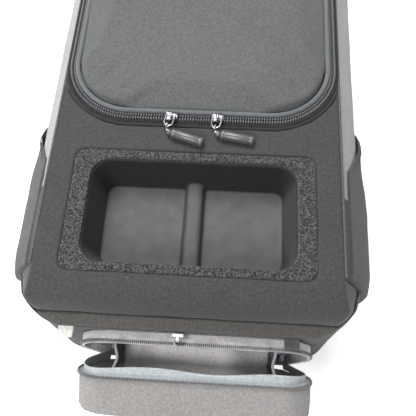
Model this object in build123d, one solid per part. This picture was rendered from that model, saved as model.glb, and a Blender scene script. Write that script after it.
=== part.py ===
from build123d import *
import os
from math import atan2, cos, degrees, radians, sin

os.makedirs("parts", exist_ok=True)

# Frame: +X to the right and +Y away from the rider, +Z up.  The origin is the middle of the underside.

# Bag body
BODY_LENGTH = 408
TOP_HEIGHT = 150
TOP_WIDTH = 256
BULGE_WIDTH = 284
BULGE_HEIGHT = 78
BASE_WIDTH = 252
PLAN_RADIUS = 40
BASE_RADIUS = 10
LEAST_RADIUS = 1
NEAR_ROLL_LENGTH = 34
ROLL_LEAN = 0.3
WALL = 4
LINING = 0.8
LINING_GAP = 1
BASE_PAN_HEIGHT = 14
SEAM_HEIGHT = 117
BINDING_LOW = 107
BINDING_SLOPE = 9
CORNER_GAP = 6
BOARD_THICKNESS = 2
BOARD_GAP = 3
PIPING_RADIUS = 2.4
BINDING_THICKNESS = 1.6

# Moulded top panel, its well and its hook-and-loop frame
FRAME_NEAR_MARGIN = 36
FRAME_LENGTH = 213
FRAME_WIDTH = 114
FRAME_RADIUS = 9
FRAME_THICKNESS = 2.4
SHELF_DEPTH = 3.4
SHELF_GAP = 1
WELL_LENGTH = 183
WELL_WIDTH = 98
WELL_RADIUS = 19
WELL_DEPTH = 39
WELL_DRAFT = 15
WELL_WALL = 3
RIB_WIDTH = 17
RIB_HEIGHT = 9
RIB_RADIUS = 7

# Lid, its zip and its hinge line
LID_WIDTH = 233
LID_TO_FRAME = 42
LID_FAR_MARGIN = 5
LID_NEAR_RADIUS = 52
LID_FAR_RADIUS = 24
LID_THICKNESS = 13
LID_EDGE_RADIUS = 8
LID_LINING = 0.6
LID_GAP = 0.4
LID_PIPING_WIDTH = 4
LID_PIPING_HEIGHT = 4.6
COIL_WIDTH = 2.8
COIL_HEIGHT = 3.4
COIL_GAP = 0.3
COIL_FAR_END = 164
TAPE_OVERLAP = 1.4
TAPE_REACH = 16
HINGE_STRIP_WIDTH = 180
HINGE_STRIP_HEIGHT = 2
HINGE_GAP = 0.5

# Lid zip sliders, rings and barrel pulls
SLIDER_LENGTH = 11
SLIDER_WIDTH = 7.6
SLIDER_HEIGHT = 2.2
SLIDER_GAP = 0.2
CROWN_WIDTH = 3.4
CROWN_LENGTH = 6.4
CROWN_HEIGHT = 5
CROWN_HOLE_RADIUS = 1.8
CROWN_HOLE_DROP = 0.4
RING_WIRE = 0.8
RING_WIDTH = 8
RING_LENGTH = 12
LOOP_RADIUS = 2.7
LOOP_WIRE = 0.8
BARREL_RADIUS = 4.3
BARREL_LENGTH = 34
BARREL_CHAMFER = 1.2
BARREL_GAP = 0.3
PULL_STANDOFF = 3
NECK_SEAT = 1
PULL_SIDE_STEP = 5.6
LEFT_SLIDER_X = -24
RIGHT_SLIDER_X = 18
LEFT_PULL_YAW = -17
RIGHT_PULL_YAW = -10

# Drop-down pocket on the near end
POCKET_X = 8
POCKET_TOP_WIDTH = 244
POCKET_HINGE_WIDTH = 164
POCKET_HEIGHT = 66
POCKET_RADIUS = 25
POCKET_TOP_DEPTH = 33
POCKET_HINGE_DEPTH = 14
POCKET_WALL = 2.6
POCKET_LINING = 0.7
POCKET_HINGE_Z = 30
POCKET_OPEN_ANGLE = 24
POCKET_FRAME_DEPTH = 11
POCKET_FRAME_WALL = 3
POCKET_RIM_GAP = 0.8
POCKET_TAPE_WIDTH = 5
POCKET_TAPE_THICKNESS = 1.2
POCKET_COIL_WIDTH = 2.2
POCKET_COIL_HEIGHT = 3
SLIP_THICKNESS = 0.8
SLIP_LOW = 18
SLIP_HIGH = 50
GUSSET_THICKNESS = 1
GUSSET_INSET = 52
GUSSET_GAP = 1.2
GUSSET_TOP_DROP = 8
POCKET_SLIDER_SIZE = (10, 5, 6)
POCKET_SLIDER_INSET = 45
POCKET_SLIDER_DROP = 3
POCKET_PULL_CORD = 0.8
POCKET_PULL_LENGTH = 20
DROP_RADIUS = 4.2
DROP_SHOULDER = 3.36
SMALL_EYE_RADIUS = 1.3

# Slit zip above the pocket
SLIT_LENGTH = 180
SLIT_TAPE_HEIGHT = 3.6
SLIT_TAPE_DEPTH = 1
SLIT_COIL_HEIGHT = 1.8
SLIT_COIL_DEPTH = 1.6
SLIT_X = -6
SLIT_SLIDER_SIZE = (11, 2.6, 5)
SLIT_PULL_LENGTH = 11
SLIT_PULL_ANGLE = 60
TAB_WIDTH = 13
TAB_THICKNESS = 2.6
TAB_LENGTH = 9

# Side pockets
SIDE_POCKET_DEPTH = 8.6
SIDE_POCKET_SKIN = 1.5
SIDE_POCKET_GAP = 2
SIDE_POCKET_TOP = 140
SIDE_POCKET_BASE = 16
SIDE_MOUTH_TOP_Y = -62
SIDE_MOUTH_MID_Y = 20
SIDE_MOUTH_BASE_Y = 70
SIDE_POCKET_SEAM = 3
SIDE_MOUTH_OPEN = 40
SIDE_BINDING_WIDTH = 6
SIDE_BINDING_THICKNESS = 1

# Carry handle and strap loops
HANDLE_SPAN = 120
HANDLE_REACH = 27
HANDLE_WIDTH = 25
HANDLE_STRAP = 3
HANDLE_FOOT = 22
HANDLE_Z = 108
LOOP_STRAP = 1.6
LOOP_STRAP_WIDTH = 25
LOOP_REACH = 9
LOOP_HEIGHT = 12
LOOP_Z = 24
LOOP_SIDE_Y = 118

# Places that follow from the sizes
NEAR_Y = -BODY_LENGTH / 2
FAR_Y = BODY_LENGTH / 2
WELL_Y = NEAR_Y + FRAME_NEAR_MARGIN + FRAME_WIDTH / 2
LID_NEAR_Y = WELL_Y + FRAME_WIDTH / 2 + LID_TO_FRAME
LID_FAR_Y = FAR_Y - LID_FAR_MARGIN
CORNER_PANEL = NEAR_ROLL_LENGTH + CORNER_GAP
NEAR_CUT = NEAR_Y + CORNER_PANEL
FAR_CUT = FAR_Y - CORNER_PANEL
TOP_SLAB = TOP_HEIGHT - WALL
HINGE_Y = FAR_Y - HINGE_GAP
HORN_END = LID_NEAR_Y + LID_NEAR_RADIUS
SLIDER_LOW = TOP_HEIGHT + LID_GAP + COIL_HEIGHT + SLIDER_GAP
SLIDER_Y = LID_NEAR_Y - LID_PIPING_WIDTH - SLIDER_GAP - SLIDER_WIDTH / 2
CROWN_Z = SLIDER_LOW + SLIDER_HEIGHT + CROWN_HEIGHT / 2 - CROWN_HOLE_DROP
BARREL_Z = TOP_HEIGHT + BARREL_RADIUS + BARREL_GAP
RING_SPAN = RING_LENGTH - RING_WIDTH / 2 - RING_WIRE
RING_TILT = degrees(atan2(CROWN_Z - BARREL_Z, RING_LENGTH))
POCKET_RIM = POCKET_FRAME_DEPTH + POCKET_RIM_GAP + POCKET_TAPE_THICKNESS
POCKET_HINGE_Y = NEAR_Y - POCKET_RIM
SLIT_Z = BINDING_LOW - SLIT_TAPE_HEIGHT / 2
SLIT_FRONT = NEAR_Y - SLIT_TAPE_DEPTH - SLIT_COIL_DEPTH - SLIDER_GAP

# Working values: how far a half space reaches, and how far a cut runs past what it cuts
FAR_AWAY = 1000
CUT = 1


def save(name, solid):
    export_step(solid, f"parts/{name}.step")


def slab(low, high):
    """Box between two corners."""
    size = [high[i] - low[i] for i in range(3)]
    middle = [(high[i] + low[i]) / 2 for i in range(3)]
    return Pos(*middle) * Box(*size)


def envelope(inset):
    """Closed outer form of the bag, drawn in all round by inset."""
    top = TOP_HEIGHT - inset
    base_half = BASE_WIDTH / 2 - inset
    bulge_half = BULGE_WIDTH / 2 - inset
    top_half = TOP_WIDTH / 2 - inset
    right = ThreePointArc((base_half, inset), (bulge_half, BULGE_HEIGHT), (top_half, top))
    left = ThreePointArc((-top_half, top), (-bulge_half, BULGE_HEIGHT), (-base_half, inset))
    lid_line = Line((top_half, top), (-top_half, top))
    base_line = Line((-base_half, inset), (base_half, inset))
    section = make_face([right, lid_line, left, base_line])
    section = fillet(section.vertices().group_by(Axis.Y)[0], max(BASE_RADIUS - inset, LEAST_RADIUS))
    across = extrude(Plane.XZ * section, amount=BODY_LENGTH, both=True)

    near = NEAR_Y + inset
    far = FAR_Y - inset
    roll_top = NEAR_Y + NEAR_ROLL_LENGTH + inset
    seam_y = near + BINDING_SLOPE
    roll_mid_y = seam_y + ROLL_LEAN * (roll_top - seam_y)
    roll_mid_z = SEAM_HEIGHT + (1 - ROLL_LEAN) * (top - SEAM_HEIGHT)
    edges = [
        Line((near, -WALL), (near, BINDING_LOW)),
        Line((near, BINDING_LOW), (seam_y, SEAM_HEIGHT)),
        ThreePointArc((seam_y, SEAM_HEIGHT), (roll_mid_y, roll_mid_z), (roll_top, top)),
        Line((roll_top, top), (roll_top, top + WALL)),
        Line((roll_top, top + WALL), (far, top + WALL)),
        Line((far, top + WALL), (far, -WALL)),
        Line((far, -WALL), (near, -WALL)),
    ]
    along = extrude(Plane.YZ * make_face(edges), amount=BODY_LENGTH, both=True)

    plan = RectangleRounded(BULGE_WIDTH - 2 * inset, BODY_LENGTH - 2 * inset, PLAN_RADIUS - inset)
    upright = extrude(plan, amount=FAR_AWAY, both=True)
    return across & along & upright


def lid_outline(step):
    """Plan of the lid, grown all round by step."""
    low = LID_NEAR_Y - step
    high = LID_FAR_Y + step
    outline = Pos(0, (low + high) / 2) * Rectangle(LID_WIDTH + 2 * step, high - low)
    outline = fillet(outline.vertices().group_by(Axis.Y)[0], LID_NEAR_RADIUS + step)
    return fillet(outline.vertices().group_by(Axis.Y)[-1], LID_FAR_RADIUS + step)


def lid_ring(outer, inner, bottom, height):
    """Upright-walled ring that follows the lid's outline."""
    return Pos(0, 0, bottom) * extrude(lid_outline(outer) - lid_outline(inner), amount=height)


def pocket_outline(step):
    """Rim of the drop-down pocket: wide at the top, narrow at the hinge, in the x-height plane."""
    half_top = POCKET_TOP_WIDTH / 2 + step
    half_low = POCKET_HINGE_WIDTH / 2 + step
    top = POCKET_HEIGHT + step
    corners = [(-half_low, -step), (half_low, -step), (half_top, top), (-half_top, top)]
    outline = make_face(Polyline(*corners, close=True))
    return fillet(outline.vertices().group_by(Axis.Y)[-1], POCKET_RADIUS + step)


def pocket_block(step, start, depth):
    """The pocket outline carried outward from the near end, from start over depth."""
    wall = Plane((POCKET_X, NEAR_Y - start, POCKET_HINGE_Z), x_dir=(1, 0, 0), z_dir=(0, -1, 0))
    return extrude(wall * pocket_outline(step), amount=depth)


def pocket_rail(outer, inner, start, depth):
    """Three-sided rail along the pocket outline, open along the hinge."""
    ring = pocket_block(outer, start, depth) - pocket_block(inner, start - CUT, depth + 2 * CUT)
    keep_low = POCKET_HINGE_Z + POCKET_WALL
    return ring & slab((-FAR_AWAY, -FAR_AWAY, keep_low), (FAR_AWAY, FAR_AWAY, FAR_AWAY))


def opened(solid):
    """Tip a piece of the closed pocket outward to its open position."""
    hinge = Axis((POCKET_X, POCKET_HINGE_Y, POCKET_HINGE_Z), (1, 0, 0))
    return solid.rotate(hinge, POCKET_OPEN_ANGLE)


# Shells that the body panels are cut from
outer = envelope(0)
inner = envelope(WALL)
inner_lining = envelope(WALL + LINING)
shell = outer - inner

all_round = (-FAR_AWAY, -FAR_AWAY, -FAR_AWAY)
all_over = (FAR_AWAY, FAR_AWAY, FAR_AWAY)
top_zone = slab((-FAR_AWAY, -FAR_AWAY, TOP_SLAB), all_over)
near_roll_zone = slab((-FAR_AWAY, -FAR_AWAY, SEAM_HEIGHT), (FAR_AWAY, NEAR_CUT, FAR_AWAY))
pan_zone = slab(all_round, (FAR_AWAY, FAR_AWAY, BASE_PAN_HEIGHT))


def body_panels():
    """Base pan, two sides and two ends, butted at their seams."""
    wall = shell - top_zone - pan_zone
    near_zone = slab(all_round, (FAR_AWAY, NEAR_CUT, FAR_AWAY))
    far_zone = slab((-FAR_AWAY, FAR_CUT, -FAR_AWAY), all_over)
    left_zone = slab(all_round, (0, FAR_AWAY, FAR_AWAY))
    sides = wall - near_zone - far_zone
    save("base_panel", shell & pan_zone)
    save("side_panel_left", sides & left_zone)
    save("side_panel_right", sides - left_zone)
    save("near_end_panel", (wall & near_zone) - near_roll_zone)
    save("far_end_panel", wall & far_zone)


def body_lining():
    """Thin lining sewn inside the walls, open at the top."""
    sleeve = inner - inner_lining
    edge = TOP_HEIGHT - SHELF_DEPTH - WELL_WALL - LINING_GAP
    open_top = slab((-FAR_AWAY, -FAR_AWAY, edge), all_over)
    roll_edge = SEAM_HEIGHT - LINING_GAP
    roll_clear = slab((-FAR_AWAY, -FAR_AWAY, roll_edge), (FAR_AWAY, NEAR_CUT, FAR_AWAY))
    save("body_lining", sleeve - open_top - roll_clear)


def base_board():
    """Stiff sheet that lies loose on the lining and keeps the base flat."""
    low = WALL + LINING
    width = BASE_WIDTH - 2 * (low + BOARD_GAP + BASE_RADIUS / 2)
    length = BODY_LENGTH - 2 * (low + BOARD_GAP + BASE_RADIUS / 2)
    plan = RectangleRounded(width, length, PLAN_RADIUS - low)
    save("base_board", Pos(0, 0, low) * extrude(plan, amount=BOARD_THICKNESS))


def well_solid(step, extra_depth):
    """Tapered pan of the well, grown by step, from the shelf down."""
    plan = RectangleRounded(WELL_LENGTH + 2 * step, WELL_WIDTH + 2 * step, WELL_RADIUS + step)
    depth = WELL_DEPTH + extra_depth
    return Pos(0, WELL_Y, TOP_HEIGHT) * extrude(plan, amount=-depth, taper=WELL_DRAFT)


def moulded_top_panel():
    """Pressed foam-backed panel: roll-over at the near end, shelf, well and rib."""
    panel = (shell & top_zone) + (shell & near_roll_zone)
    panel -= Pos(0, 0, TOP_SLAB - CUT) * extrude(lid_outline(TAPE_REACH), amount=WALL + 2 * CUT)
    panel -= slab((-FAR_AWAY, HORN_END, -FAR_AWAY), all_over)
    shelf_size = (FRAME_LENGTH + 2 * SHELF_GAP, FRAME_WIDTH + 2 * SHELF_GAP)
    shelf = RectangleRounded(*shelf_size, FRAME_RADIUS + SHELF_GAP)
    backing_size = [size + 2 * WELL_WALL for size in shelf_size]
    backing = RectangleRounded(*backing_size, FRAME_RADIUS + WELL_WALL)
    shelf_floor = TOP_HEIGHT - SHELF_DEPTH
    panel += Pos(0, WELL_Y, shelf_floor - WELL_WALL) * extrude(backing, amount=WELL_WALL)
    panel += well_solid(WELL_WALL, WELL_WALL) & slab(all_round, (FAR_AWAY, FAR_AWAY, shelf_floor))
    panel -= Pos(0, WELL_Y, shelf_floor) * extrude(shelf, amount=SHELF_DEPTH + CUT)
    panel -= well_solid(0, 0)
    floor = TOP_HEIGHT - WELL_DEPTH
    rib = Pos(0, WELL_Y, floor + RIB_HEIGHT / 2) * Box(RIB_WIDTH, WELL_WIDTH, RIB_HEIGHT)
    rib = fillet(rib.edges().filter_by(Axis.Y).group_by(Axis.Z)[-1], RIB_RADIUS)
    panel += rib & well_solid(WELL_WALL / 2, 0)
    save("moulded_top_panel", panel)


def hook_and_loop_frame():
    """Fuzzy loop-tape frame glued in the shelf round the well."""
    outline = RectangleRounded(FRAME_LENGTH, FRAME_WIDTH, FRAME_RADIUS)
    opening = RectangleRounded(WELL_LENGTH, WELL_WIDTH, WELL_RADIUS)
    low = TOP_HEIGHT - SHELF_DEPTH
    ring = extrude(outline - opening, amount=FRAME_THICKNESS)
    save("hook_loop_frame", Pos(0, WELL_Y, low) * ring)


def side_piping():
    """Corded piping along each long top edge, cut to seat on the bag."""
    start = NEAR_Y + PLAN_RADIUS
    length = FAR_CUT - start
    for name, side in (("side_piping_left", -1), ("side_piping_right", 1)):
        rod = Pos(side * TOP_WIDTH / 2, start + length / 2, TOP_HEIGHT) * Rot(90, 0, 0)
        rod = rod * Cylinder(PIPING_RADIUS, length)
        tape_level = slab(all_round, (FAR_AWAY, FAR_AWAY, TOP_HEIGHT))
        save(name, (rod - outer) & tape_level)


def near_binding():
    """Stitched binding strip that covers the seam under the moulded panel."""
    band = envelope(-BINDING_THICKNESS) - outer
    zone = slab((-FAR_AWAY, -FAR_AWAY, BINDING_LOW), (FAR_AWAY, NEAR_CUT, SEAM_HEIGHT))
    save("near_binding", band & zone)


def lid_zip_body_half():
    """Zip tape sewn round the opening, and its coil."""
    inner_edge = LID_PIPING_WIDTH + COIL_WIDTH + COIL_GAP
    outer_edge = inner_edge + COIL_WIDTH
    reach = Pos(0, 0, TOP_SLAB) * extrude(lid_outline(TAPE_REACH), amount=WALL)
    reach += slab((-FAR_AWAY, HORN_END, TOP_SLAB), (FAR_AWAY, FAR_AWAY, TOP_HEIGHT))
    opening = lid_outline(inner_edge + TAPE_OVERLAP)
    tape = reach - Pos(0, 0, TOP_SLAB) * extrude(opening, amount=WALL)
    save("lid_zip_body_tape", tape & outer)
    coil = lid_ring(outer_edge, inner_edge, TOP_HEIGHT, COIL_HEIGHT)
    reach = slab(all_round, (FAR_AWAY, COIL_FAR_END, FAR_AWAY))
    save("lid_zip_body_coil", coil & reach)


def lid_pieces():
    """Padded lid with lining, edge piping, coil and fabric hinge."""
    low = TOP_HEIGHT + LID_GAP
    pad_low = low + LID_LINING
    lining_plan = lid_outline(LID_PIPING_WIDTH)
    within = slab(all_round, (FAR_AWAY, LID_FAR_Y, FAR_AWAY))
    save("lid_lining", (Pos(0, 0, low) * extrude(lining_plan, amount=LID_LINING)) & within)
    pad = Pos(0, 0, pad_low) * extrude(lid_outline(0), amount=LID_THICKNESS)
    pad = fillet(pad.edges().group_by(Axis.Z)[-1], LID_EDGE_RADIUS)
    save("lid_pad", pad)
    piping = lid_ring(LID_PIPING_WIDTH, 0, pad_low, LID_PIPING_HEIGHT)
    save("lid_piping", piping & within)
    coil = lid_ring(LID_PIPING_WIDTH + COIL_WIDTH, LID_PIPING_WIDTH, low, COIL_HEIGHT)
    save("lid_zip_lid_coil", coil & slab(all_round, (FAR_AWAY, COIL_FAR_END, FAR_AWAY)))
    half = HINGE_STRIP_WIDTH / 2
    strip_high = pad_low + HINGE_STRIP_HEIGHT
    save("lid_hinge_strip", slab((-half, LID_FAR_Y, pad_low), (half, HINGE_Y, strip_high)))


def lid_slider(name, x):
    """Slider plate with a bridge for the ring."""
    plate = Box(SLIDER_LENGTH, SLIDER_WIDTH, SLIDER_HEIGHT)
    body = Pos(x, SLIDER_Y, SLIDER_LOW + SLIDER_HEIGHT / 2) * plate
    body = fillet(body.edges().filter_by(Axis.Z), SLIDER_WIDTH / 3)
    crown_mid = SLIDER_LOW + SLIDER_HEIGHT + CROWN_HEIGHT / 2
    crown = Pos(x, SLIDER_Y, crown_mid) * Box(CROWN_WIDTH, CROWN_LENGTH, CROWN_HEIGHT)
    crown = fillet(crown.edges().filter_by(Axis.X).group_by(Axis.Z)[-1], CROWN_HEIGHT / 3)
    hole = Pos(x, SLIDER_Y, CROWN_Z) * Rot(0, 90, 0) * Cylinder(CROWN_HOLE_RADIUS, SLIDER_LENGTH)
    save(name, (body + crown) - hole)


def ring_frame(x, yaw):
    """Place at the bridge: local -Y runs along the ring, tilted down to the pull."""
    return Pos(x, SLIDER_Y, CROWN_Z) * Rot(0, 0, yaw) * Rot(RING_TILT, 0, 0)


def lid_ring_link(name, x, yaw):
    """Metal link: a straight bar through the bridge, two legs and a round far end."""
    half = RING_WIDTH / 2
    bar = Rot(0, 90, 0) * Cylinder(RING_WIRE, RING_WIDTH)
    link = bar + Pos(half, 0, 0) * Sphere(RING_WIRE) + Pos(-half, 0, 0) * Sphere(RING_WIRE)
    for side in (-1, 1):
        link += Pos(side * half, -RING_SPAN / 2, 0) * Rot(90, 0, 0) * Cylinder(RING_WIRE, RING_SPAN)
    bow = Torus(half, RING_WIRE) & slab(all_round, (FAR_AWAY, 0, FAR_AWAY))
    link += Pos(0, -RING_SPAN, 0) * bow
    save(name, ring_frame(x, yaw) * link)


def lid_pull(name, x, yaw):
    """Barrel pull with a loop through the far end of the link."""
    apex = ring_frame(x, yaw) * Pos(0, -RING_SPAN - RING_WIDTH / 2, 0)
    spot = apex.position
    level = Pos(spot.X, spot.Y, BARREL_Z) * Rot(0, 0, yaw)
    loop = Rot(0, 90, 0) * Torus(LOOP_RADIUS, LOOP_WIRE)
    loop = Pos(0, 0, spot.Z - BARREL_Z) * loop
    neck_length = PULL_STANDOFF + NECK_SEAT
    neck = Rot(0, 90, 0) * Cylinder(LOOP_WIRE, neck_length)
    neck = Pos(neck_length / 2, -LOOP_RADIUS, 0) * neck
    barrel = Cylinder(BARREL_RADIUS, BARREL_LENGTH)
    barrel = chamfer(barrel.edges(), BARREL_CHAMFER)
    middle = PULL_STANDOFF + BARREL_LENGTH / 2
    barrel = Pos(middle, -PULL_SIDE_STEP, 0) * Rot(0, 90, 0) * barrel
    save(name, level * (loop + neck + barrel))


def pocket_pieces():
    """Wedge tray that hangs open from its lower edge."""
    def wedge(step, far_step):
        block = pocket_block(step, POCKET_RIM, POCKET_TOP_DEPTH - far_step)
        low = POCKET_HINGE_DEPTH - far_step
        high = POCKET_TOP_DEPTH - far_step
        base = POCKET_HINGE_Y
        cut = Polyline(
            (base - low, POCKET_HINGE_Z),
            (base - high, POCKET_HINGE_Z + POCKET_HEIGHT),
            (base - high, POCKET_HINGE_Z + 2 * POCKET_HEIGHT),
            (base + CUT, POCKET_HINGE_Z + 2 * POCKET_HEIGHT),
            (base + CUT, 0),
            (base - low, 0),
            close=True,
        )
        return block & extrude(Plane.YZ * make_face(cut), amount=BODY_LENGTH, both=True)

    hollow = wedge(-POCKET_WALL, POCKET_WALL)
    tray = wedge(0, 0)
    save("pocket_shell", opened(tray - hollow))
    lined = POCKET_WALL + POCKET_LINING
    room = wedge(-lined, lined)
    save("pocket_lining", opened(hollow - room))

    rim_start = POCKET_RIM - POCKET_TAPE_THICKNESS
    tape = pocket_rail(0, -POCKET_TAPE_WIDTH, rim_start, POCKET_TAPE_THICKNESS)
    save("pocket_rim_tape", opened(tape))
    coil = pocket_rail(POCKET_COIL_WIDTH, 0, rim_start, POCKET_COIL_HEIGHT)
    save("pocket_rim_coil", opened(coil))

    slip_step = lined + SLIP_THICKNESS
    floor_skin = room - wedge(-lined, slip_step)
    left = POCKET_X - POCKET_TOP_WIDTH / 2
    right = POCKET_X + POCKET_TOP_WIDTH / 2
    base = POCKET_HINGE_Z
    slant = Polyline(
        (left, base),
        (left, base + SLIP_HIGH),
        (right, base + SLIP_LOW),
        (right, base),
        close=True,
    )
    slip = floor_skin & extrude(Plane.XZ * make_face(slant), amount=BODY_LENGTH)
    save("pocket_slip_sheet", opened(slip))


def near_end_fittings():
    """Fixed frame, zip half, lining, slit zip and tabs on the near end."""
    frame = pocket_rail(0, -POCKET_FRAME_WALL, 0, POCKET_FRAME_DEPTH)
    save("pocket_frame", frame - outer)
    coil_start = POCKET_FRAME_DEPTH - POCKET_COIL_HEIGHT
    coil = pocket_rail(POCKET_COIL_WIDTH, 0, coil_start, POCKET_COIL_HEIGHT)
    save("pocket_frame_coil", coil)
    back = pocket_block(-POCKET_FRAME_WALL, -WALL, WALL + POCKET_LINING) - outer
    save("pocket_back_lining", back)

    low = BINDING_LOW - SLIT_TAPE_HEIGHT
    half = SLIT_LENGTH / 2
    left = SLIT_X - half
    right = SLIT_X + half
    front = NEAR_Y - SLIT_TAPE_DEPTH
    tape = slab((left, front, low), (right, NEAR_Y, BINDING_LOW))
    save("slit_zip_tape", tape - outer)
    coil_low = SLIT_Z - SLIT_COIL_HEIGHT / 2
    coil_high = SLIT_Z + SLIT_COIL_HEIGHT / 2
    coil = slab((left, front - SLIT_COIL_DEPTH, coil_low), (right, front, coil_high))
    save("slit_zip_coil", coil)

    reach = NEAR_Y - BINDING_THICKNESS - TAB_LENGTH
    for name, start in (("zip_end_tab_left", left - TAB_WIDTH), ("zip_end_tab_right", right)):
        tab_low = BINDING_LOW - TAB_THICKNESS
        tab = slab((start, reach, tab_low), (start + TAB_WIDTH, NEAR_Y + WALL, BINDING_LOW))
        save(name, tab - outer)


def slit_slider():
    """Bright slider of the slit zip with an eye, and its cord loop."""
    wide, deep, tall = SLIT_SLIDER_SIZE
    body = Pos(SLIT_X, SLIT_FRONT - deep / 2, SLIT_Z) * Box(wide, deep, tall)
    body = fillet(body.edges().filter_by(Axis.Y), tall / 4)
    eye_y = SLIT_FRONT - deep - SMALL_EYE_RADIUS
    save("slit_zip_slider", with_eye(body, SLIT_X, eye_y, SLIT_Z))
    loop = hanging_loop(SLIT_X, eye_y, SLIT_Z, SLIT_PULL_LENGTH)
    pivot = Axis((SLIT_X, eye_y, SLIT_Z), (-1, 0, 0))
    save("slit_zip_pull", loop.rotate(pivot, SLIT_PULL_ANGLE))


def with_eye(body, x, y, z):
    """Small slider body with a drilled eye for its pull."""
    across = Pos(x, y, z) * Rot(0, 90, 0)
    eye = across * Cylinder(2 * SMALL_EYE_RADIUS, 2 * SMALL_EYE_RADIUS)
    hole = across * Cylinder(SMALL_EYE_RADIUS, 4 * SMALL_EYE_RADIUS)
    return (body + eye) - hole


def hanging_loop(x, y, z, length):
    """Cord loop through an eye: a bar in the eye, and two cords that meet below."""
    half = 3 * SMALL_EYE_RADIUS
    bar = Pos(x, y, z) * Rot(0, 90, 0) * Cylinder(POCKET_PULL_CORD, 2 * half)
    knot = Pos(x, y, z - length) * Sphere(2 * POCKET_PULL_CORD)
    loop = bar + knot
    lean = degrees(atan2(half, length))
    run = (half * half + length * length) ** 0.5
    for side in (-1, 1):
        loop += Pos(x + side * half, y, z) * Sphere(POCKET_PULL_CORD)
        leg = Pos(0, 0, -run / 2) * Cylinder(POCKET_PULL_CORD, run)
        loop += Pos(x + side * half, y, z) * Rot(0, side * lean, 0) * leg
    return loop


def pocket_sliders():
    """Two sliders under the top run of the pocket frame, each with a hanging pull."""
    wide, deep, tall = POCKET_SLIDER_SIZE
    y = NEAR_Y - POCKET_FRAME_DEPTH + deep / 2
    z = POCKET_HINGE_Z + POCKET_HEIGHT - POCKET_FRAME_WALL - POCKET_SLIDER_DROP - tall / 2
    for side, label in ((-1, "left"), (1, "right")):
        x = POCKET_X + side * (POCKET_TOP_WIDTH / 2 - POCKET_SLIDER_INSET)
        eye_z = z - tall / 2 - SMALL_EYE_RADIUS
        body = Pos(x, y, z) * Box(wide, deep, tall)
        save(f"pocket_slider_{label}", with_eye(body, x, y, eye_z))
        pull = hanging_loop(x, y, eye_z, POCKET_PULL_LENGTH)
        if side == 1:
            drop_z = eye_z - POCKET_PULL_LENGTH - DROP_RADIUS
            shoulder = Cone(DROP_SHOULDER, POCKET_PULL_CORD, 2 * DROP_RADIUS)
            pull += Pos(x, y, drop_z) * Sphere(DROP_RADIUS)
            pull += Pos(x, y, drop_z + DROP_RADIUS) * shoulder
        save(f"pocket_pull_{label}", pull)


def gussets():
    """Folding side webs between the near end and the open pocket."""
    turn = radians(POCKET_OPEN_ANGLE)
    reach = POCKET_HEIGHT - POCKET_WALL - GUSSET_GAP - POCKET_TAPE_WIDTH
    base = NEAR_Y - POCKET_LINING - GUSSET_GAP
    low = (POCKET_HINGE_Y + GUSSET_GAP, POCKET_HINGE_Z + POCKET_WALL + GUSSET_GAP)
    tip = (POCKET_HINGE_Y - reach * sin(turn), POCKET_HINGE_Z + reach * cos(turn))
    frame_inside = POCKET_HINGE_Z + POCKET_HEIGHT - POCKET_FRAME_WALL
    top = (base, frame_inside - GUSSET_GAP - GUSSET_TOP_DROP)
    web = make_face(Polyline((base, low[1]), low, tip, top, close=True))
    for side, label in ((-1, "left"), (1, "right")):
        x = POCKET_X + side * (POCKET_TOP_WIDTH / 2 - GUSSET_INSET)
        plane = Plane((x - GUSSET_THICKNESS / 2, 0, 0), x_dir=(0, 1, 0), z_dir=(1, 0, 0))
        save(f"gusset_{label}", extrude(plane * web, amount=GUSSET_THICKNESS))


def side_pockets():
    """Stretch pockets on the near part of each side, with a bound slanting mouth."""
    skin_outer = envelope(-SIDE_POCKET_DEPTH)
    skin_inner = envelope(SIDE_POCKET_SKIN - SIDE_POCKET_DEPTH)
    mid_z = (SIDE_POCKET_TOP + SIDE_POCKET_BASE) / 2

    def region(step, mouth):
        near = NEAR_CUT + SIDE_POCKET_GAP + step
        base = SIDE_POCKET_BASE + step
        top = SIDE_POCKET_TOP - step
        mouth_top = (SIDE_MOUTH_TOP_Y + mouth, top)
        mouth_mid = (SIDE_MOUTH_MID_Y + mouth, mid_z)
        mouth_base = (SIDE_MOUTH_BASE_Y + mouth, base)
        edges = [
            Line((near, base), (near, top)),
            Line((near, top), mouth_top),
            ThreePointArc(mouth_top, mouth_mid, mouth_base),
            Line(mouth_base, (near, base)),
        ]
        return extrude(Plane.YZ * make_face(edges), amount=BODY_LENGTH, both=True)

    room = (skin_inner - outer) & region(SIDE_POCKET_SEAM, SIDE_MOUTH_OPEN)
    pocket = ((skin_outer - outer) & region(0, 0)) - room
    strip = envelope(-SIDE_POCKET_DEPTH - SIDE_BINDING_THICKNESS) - skin_outer
    strip = (strip & region(SIDE_POCKET_SEAM, 0)) - region(0, -SIDE_BINDING_WIDTH)
    left_half = slab(all_round, (0, FAR_AWAY, FAR_AWAY))
    save("side_pocket_left", pocket & left_half)
    save("side_pocket_right", pocket - left_half)
    save("side_pocket_binding_left", strip & left_half)
    save("side_pocket_binding_right", strip - left_half)


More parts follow.
